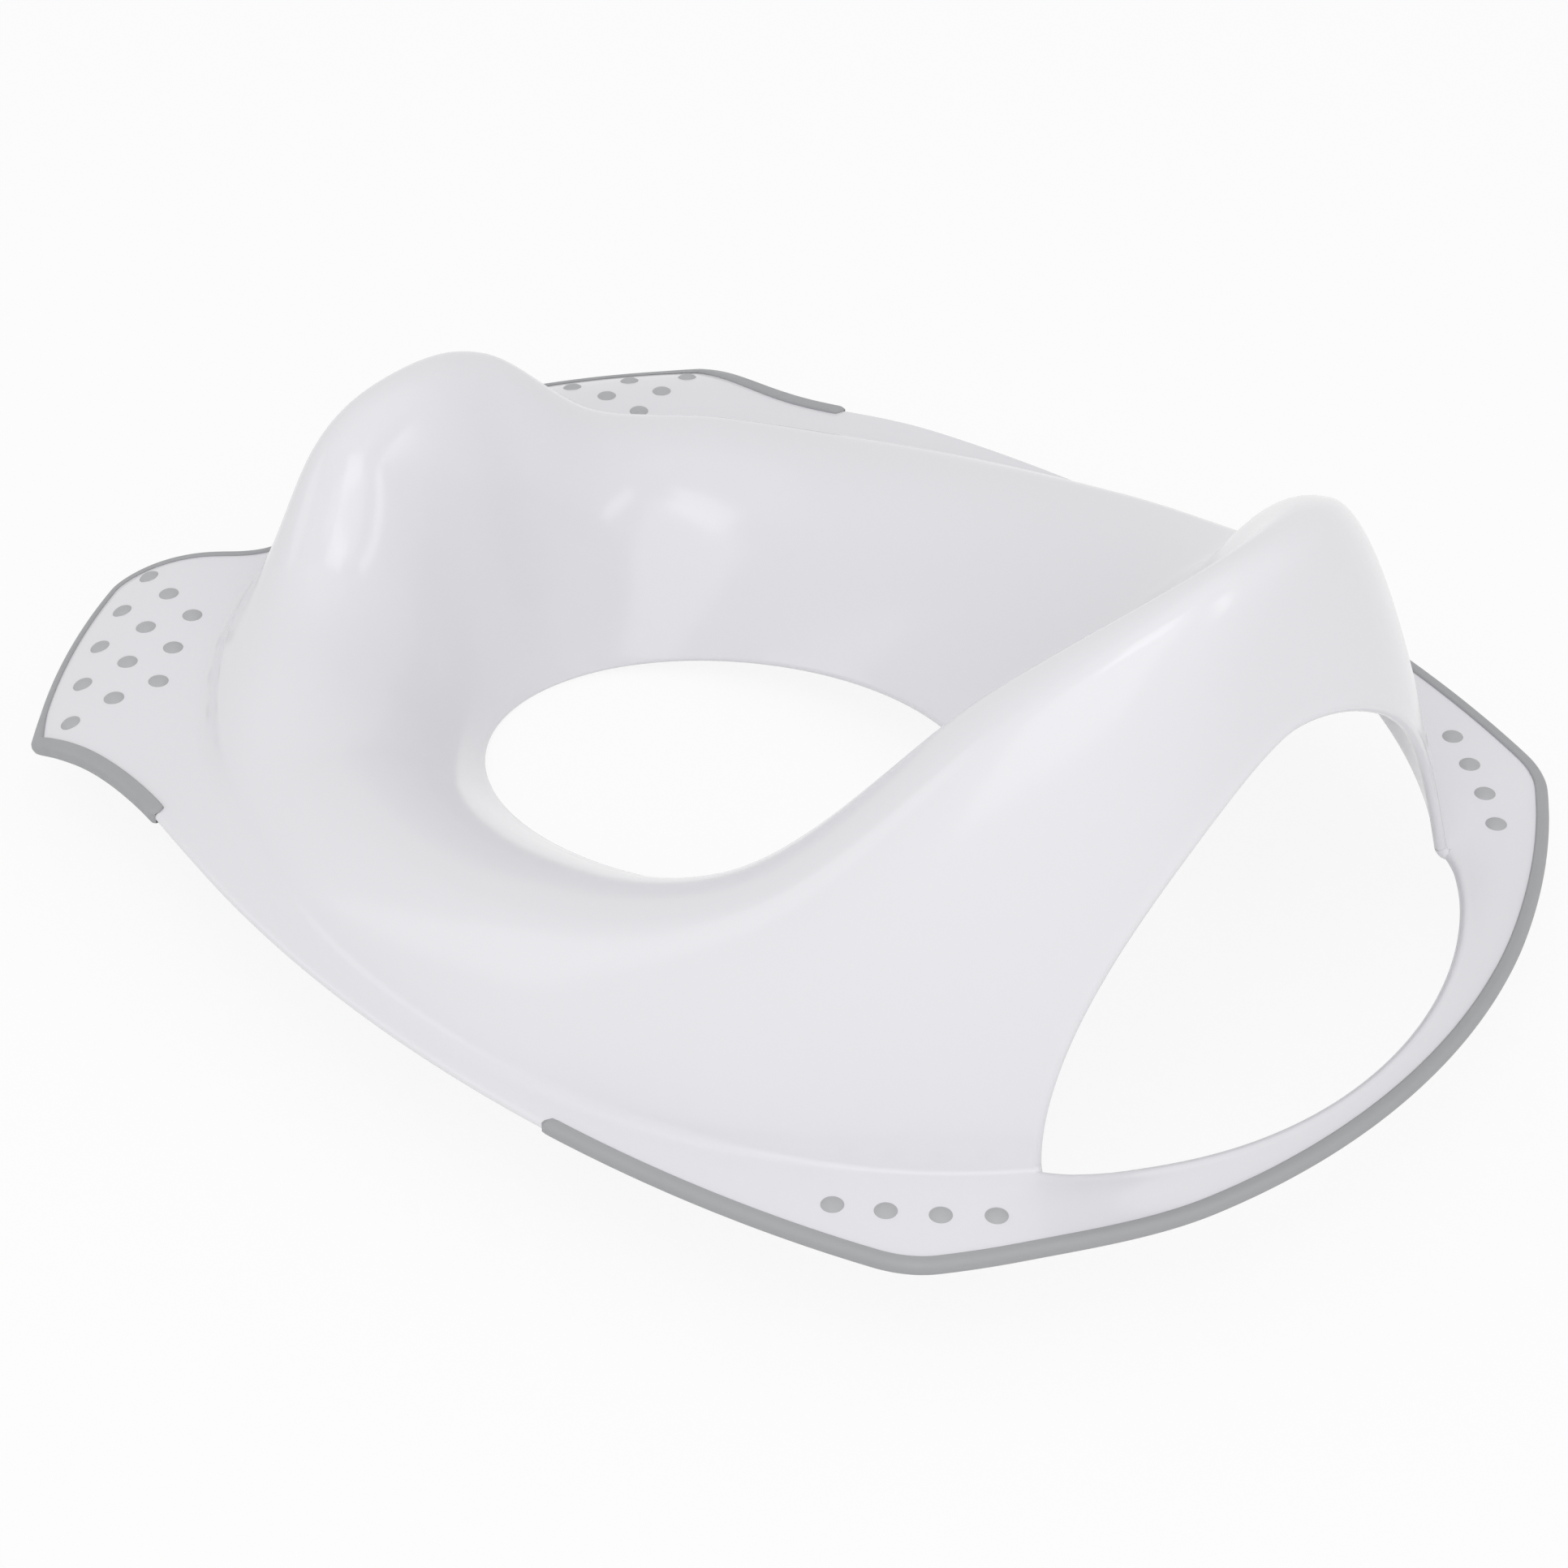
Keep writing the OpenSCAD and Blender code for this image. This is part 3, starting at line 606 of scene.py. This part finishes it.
def grip_section(size, share):
    """Closed section of a grip as [distance past the edge, height above the flange]."""
    width, proud, thick = size
    fade = GRIP_END_SHARE + (1 - GRIP_END_SHARE) * share
    inner = proud + GRIP_HOLD + (width - proud - GRIP_HOLD) * share
    thick = thick * fade
    proud = proud * fade
    low = -WALL_T - thick
    r_out = GRIP_ROUND * share + GRIP_END_ROUND
    r_lip = GRIP_LIP_ROUND * thick
    lip = proud - inner
    gap = GRIP_GAP
    out = [[lip, gap]]

    def arc(cx, cz, r, start, end):
        for a in np.radians(np.linspace(start, end, GRIP_ARC_POINTS)):
            out.append([cx + r * math.cos(a), cz + r * math.sin(a)])

    arc(lip + r_lip, thick - r_lip, r_lip, 180, 90)
    arc(proud - r_out, thick - r_out, r_out, 90, 0)
    arc(proud - r_out, low + r_out, r_out, 0, -90)
    arc(lip + r_lip, low + r_lip, r_lip, -90, -180)
    out += [[lip, -WALL_T - gap], [gap, -WALL_T - gap], [gap, gap]]
    return np.array(out)


def build_grip(name, start_angle, end_angle, material):
    """Sweeps the section along the edge; it shrinks to a rounded end at both ends of the grip."""
    path, at = edge_path(start_angle, end_angle)
    tangent = unit(np.gradient(path, axis=0))
    out = np.stack([tangent[:, 1], -tangent[:, 0]], -1)
    points = []
    for i in range(len(path)):
        away = min(at[i], at[-1] - at[i])
        u = min(away / GRIP_END_L, 1)
        share = math.sqrt(max(1 - (1 - u) ** 2, 0))
        section = grip_section(grip_size(bearing(path[i]), "_ear" in name), share)
        p = path[i] + section[:, :1] * out[i]
        points.append(skin(p) + skin_normal(p) * section[:, 1:])
    points = np.array(points)
    rings, sides = points.shape[:2]
    number = np.arange(rings * sides).reshape(rings, sides)
    faces = []
    for i in range(rings - 1):
        for j in range(sides):
            k = (j + 1) % sides
            faces.append((number[i, j], number[i, k], number[i + 1, k], number[i + 1, j]))
    flat = points.reshape(-1, 3)
    faces.append(tuple(number[0][::-1]))
    faces.append(tuple(number[-1]))
    return mesh_piece(name, flat, faces, material)


# Dots
def ear_dot_plan(i):
    """Place of an ear's dot: rows of five, four and three, inwards from the front edge."""
    row = 0
    while i >= DOT_EAR_COUNTS[row]:
        i -= DOT_EAR_COUNTS[row]
        row += 1
    slot = i - (DOT_EAR_COUNTS[row] - 1) / 2
    r = EAR_R - DOT_EAR_INSET - row * DOT_EAR_ROW
    b = rad(DOT_EAR_BEARING + slot * DOT_EAR_PITCH)
    return np.array([-EAR_X + r * np.cos(b), EAR_Y + r * np.sin(b)])


def rear_dot_plan(i):
    b = DOT_REAR_BEARING + i * DOT_REAR_PITCH
    return polar(foot_r(b) + DOT_REAR_SHARE[i] * (edge_r(b) - foot_r(b)), b)


def build_dot(name, plan, mirrored, material):
    """A plug with a domed top above the flange and a wider flat foot below it."""
    sides = DOT_SIDES
    z = skin_normal(plan)
    x = unit(np.cross([0, 1, 0], z))
    y = np.cross(z, x)
    origin = skin(plan[None, :])[0]
    r = DOT_D / 2
    brim = r + DOT_BRIM
    low = -WALL_T - DOT_NUB
    turns = np.radians(np.arange(80, -1, -10))
    profile = [[r * math.cos(a), DOT_CROWN * math.sin(a) ** DOT_DOME_POWER] for a in turns]
    profile += [[r, -WALL_T], [brim, -WALL_T]]
    profile += [[brim - inwards, low + up] for inwards, up in DOT_FOOT_BEVEL]
    points = [origin + z * DOT_CROWN]
    for radius, height in profile:
        for k in range(sides):
            t = 2 * math.pi * k / sides
            across = x * math.cos(t) + y * math.sin(t)
            points.append(origin + across * radius + z * height)
    points.append(origin + z * low)
    faces = [(0, 1 + k, 1 + (k + 1) % sides) for k in range(sides)]
    for j in range(len(profile) - 1):
        base = 1 + j * sides
        for k in range(sides):
            m = (k + 1) % sides
            faces.append((base + k, base + sides + k, base + sides + m, base + m))
    base = 1 + (len(profile) - 1) * sides
    faces += [(len(points) - 1, base + (k + 1) % sides, base + k) for k in range(sides)]
    points = np.array(points)
    if mirrored:
        points = points * [-1, 1, 1]
        faces = [f[::-1] for f in faces]
    return mesh_piece(name, points, faces, material)


# Materials
def new_material(name, colour, roughness):
    material = bpy.data.materials.new(name)
    material.use_nodes = True
    tree = material.node_tree
    shader = tree.nodes["Principled BSDF"]
    shader.inputs["Base Color"].default_value = (*colour, 1)
    shader.inputs["Roughness"].default_value = roughness
    return material, tree, shader


def noise_node(tree, scale, detail):
    coords = tree.nodes.new("ShaderNodeTexCoord")
    noise = tree.nodes.new("ShaderNodeTexNoise")
    noise.inputs["Scale"].default_value = scale
    noise.inputs["Detail"].default_value = detail
    tree.links.new(coords.outputs["Object"], noise.inputs["Vector"])
    return noise


def vary(tree, noise, between, socket):
    """Feeds a socket with a value that wanders between two limits."""
    span = tree.nodes.new("ShaderNodeMapRange")
    span.inputs["From Min"].default_value = NOISE_RANGE[0]
    span.inputs["From Max"].default_value = NOISE_RANGE[1]
    span.inputs["To Min"].default_value = between[0]
    span.inputs["To Max"].default_value = between[1]
    tree.links.new(noise.outputs["Fac"], span.inputs["Value"])
    tree.links.new(span.outputs["Result"], socket)


def tint(tree, noise, colours, socket):
    """Feeds a socket with a colour that wanders between two."""
    mix = tree.nodes.new("ShaderNodeMix")
    mix.data_type = "RGBA"
    mix.inputs["A"].default_value = (*colours[0], 1)
    mix.inputs["B"].default_value = (*colours[1], 1)
    tree.links.new(noise.outputs["Fac"], mix.inputs["Factor"])
    tree.links.new(mix.outputs["Result"], socket)


def bump(tree, noises, shader):
    """Stacks fine height noises, given as (noise, strength, distance)."""
    before = None
    for noise, strength, distance in noises:
        node = tree.nodes.new("ShaderNodeBump")
        node.inputs["Strength"].default_value = strength
        node.inputs["Distance"].default_value = distance
        tree.links.new(noise.outputs["Fac"], node.inputs["Height"])
        if before:
            tree.links.new(before.outputs["Normal"], node.inputs["Normal"])
        before = node
    tree.links.new(before.outputs["Normal"], shader.inputs["Normal"])


def shell_material():
    material, tree, shader = new_material("gloss_polypropylene", (0.815, 0.808, 0.84), roughness=0.13)
    shader.inputs["IOR"].default_value = 1.49
    cloud = noise_node(tree, scale=9, detail=2)
    tint(tree, cloud, SHELL_COLOURS, shader.inputs["Base Color"])
    smear = noise_node(tree, scale=45, detail=4)
    vary(tree, smear, SHELL_ROUGHNESS, shader.inputs["Roughness"])
    ripple = noise_node(tree, scale=60, detail=1)
    grain = noise_node(tree, scale=2600, detail=2)
    bump(tree, [(ripple, 0.02, 0.0004), (grain, 0.05, 0.00004)], shader)
    return material


def soft_material(name, colours):
    material, tree, shader = new_material(name, colours[0], roughness=0.5)
    cloud = noise_node(tree, scale=60, detail=3)
    tint(tree, cloud, colours, shader.inputs["Base Color"])
    smear = noise_node(tree, scale=220, detail=3)
    vary(tree, smear, RUBBER_ROUGHNESS, shader.inputs["Roughness"])
    grain = noise_node(tree, scale=1800, detail=3)
    bump(tree, [(grain, 0.2, 0.0001)], shader)
    return material


# Studio
def seen_directly(tree):
    """1 for rays that show the background: from the camera, or by way of a reflection or glass."""
    path = tree.nodes.new("ShaderNodeLightPath")
    value = path.outputs["Is Camera Ray"]
    for kind in ("Is Glossy Ray", "Is Transmission Ray"):
        either = tree.nodes.new("ShaderNodeMath")
        either.operation = "MAXIMUM"
        tree.links.new(value, either.inputs[0])
        tree.links.new(path.outputs[kind], either.inputs[1])
        value = either.outputs["Value"]
    return value


def build_floor():
    """A pale floor that keeps the seat's soft shadow and looks nearly white beside it."""
    h = FLOOR_HALF
    corners = [(-h, -h, 0), (h, -h, 0), (h, h, 0), (-h, h, 0)]
    floor_mesh = bpy.data.meshes.new("floor")
    floor_mesh.from_pydata(corners, [], [(0, 1, 2, 3)])
    floor = bpy.data.objects.new("floor", floor_mesh)
    bpy.context.scene.collection.objects.link(floor)
    material, tree, shader = new_material("floor_white", FLOOR_COLOUR, roughness=0.9)
    glow = tree.nodes.new("ShaderNodeEmission")
    glow.inputs["Strength"].default_value = 1.0
    paler = tree.nodes.new("ShaderNodeMath")
    paler.operation = "MULTIPLY"
    paler.inputs[1].default_value = FLOOR_GLOW
    blend = tree.nodes.new("ShaderNodeMixShader")
    output = tree.nodes["Material Output"]
    tree.links.new(seen_directly(tree), paler.inputs[0])
    tree.links.new(paler.outputs["Value"], blend.inputs["Fac"])
    tree.links.new(shader.outputs["BSDF"], blend.inputs[1])
    tree.links.new(glow.outputs["Emission"], blend.inputs[2])
    tree.links.new(blend.outputs["Shader"], output.inputs["Surface"])
    floor_mesh.materials.append(material)


def background_node(tree, strength):
    node = tree.nodes.new("ShaderNodeBackground")
    node.inputs["Color"].default_value = (1, 1, 1, 1)
    node.inputs["Strength"].default_value = strength
    return node


def build_world():
    """Plain room light, which looks white where it is seen directly."""
    world = bpy.data.worlds.new("studio")
    world.use_nodes = True
    tree = world.node_tree
    for node in list(tree.nodes):
        tree.nodes.remove(node)
    output = tree.nodes.new("ShaderNodeOutputWorld")
    plain = background_node(tree, ROOM_LIGHT)
    seen = background_node(tree, 1.0)
    mix = tree.nodes.new("ShaderNodeMixShader")
    tree.links.new(seen_directly(tree), mix.inputs["Fac"])
    tree.links.new(plain.outputs["Background"], mix.inputs[1])
    tree.links.new(seen.outputs["Background"], mix.inputs[2])
    tree.links.new(mix.outputs["Shader"], output.inputs["Surface"])
    bpy.context.scene.world = world


def area_light(name, place_at, size, power):
    data = bpy.data.lights.new(name, "AREA")
    data.shape = "RECTANGLE"
    data.size = size[0]
    data.size_y = size[1]
    data.energy = power
    light = bpy.data.objects.new(name, data)
    light.location = place_at
    light.rotation_euler = (Vector(LOOK_AT) - Vector(place_at)).to_track_quat("-Z", "Y").to_euler()
    bpy.context.scene.collection.objects.link(light)


def build_camera():
    yaw = math.radians(CAMERA_YAW)
    rise = math.radians(CAMERA_RISE)
    roll = math.radians(CAMERA_ROLL)
    back = Vector((math.sin(yaw) * math.cos(rise), -math.cos(yaw) * math.cos(rise), math.sin(rise)))
    right = Vector((0, 0, 1)).cross(back).normalized()
    up = back.cross(right)
    level = right * math.cos(roll) + up * math.sin(roll)
    upward = up * math.cos(roll) - right * math.sin(roll)
    data = bpy.data.cameras.new("camera")
    data.sensor_width = CAMERA_SENSOR
    data.lens = CAMERA_LENS
    data.clip_start = 0.01
    camera = bpy.data.objects.new("camera", data)
    turn = Matrix((level, upward, back)).transposed().to_4x4()
    camera.matrix_world = Matrix.Translation(CAMERA_AT) @ turn
    bpy.context.scene.collection.objects.link(camera)
    bpy.context.scene.camera = camera


build_camera()
build_floor()
build_world()
for lamp in LAMPS:
    area_light(*lamp)

shell_plastic = shell_material()
grip_rubber = soft_material("grip_rubber", GRIP_COLOURS)
dot_rubber = soft_material("dot_rubber", DOT_COLOURS)

shell = build_shell(shell_plastic)
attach(shell, "root")
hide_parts("seat_shell")

rear_start = math.degrees(math.atan2(GRIP_REAR_Y - FOOT_Y, FLANGE_W / 2))
ear_start = math.degrees(math.atan2(GRIP_EAR_Y - FOOT_Y, EAR_SIDE_X))
ear_end = float(bearing(foot_point(np.array(GRIP_EAR_END))))
grips = [
    ("grip_rear", rear_start, 180 - rear_start),
    ("grip_left_ear", ear_end, ear_start),
    ("grip_right_ear", 180 - ear_start, 180 - ear_end),
]
for node, start, end in grips:
    grip = build_grip("soft_" + node, start, end, grip_rubber)
    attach(grip, "root")
    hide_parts(node)

for side in ("left", "right"):
    for kind, plan, total in (("ear", ear_dot_plan, 12), ("rear", rear_dot_plan, 4)):
        for i in range(total):
            node = f"dot_{side}_{kind}_{i + 1}"
            dot = build_dot("soft_" + node, plan(i), side == "right", dot_rubber)
            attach(dot, "root")
            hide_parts(node)

bpy.context.scene.view_settings.view_transform = "Standard"
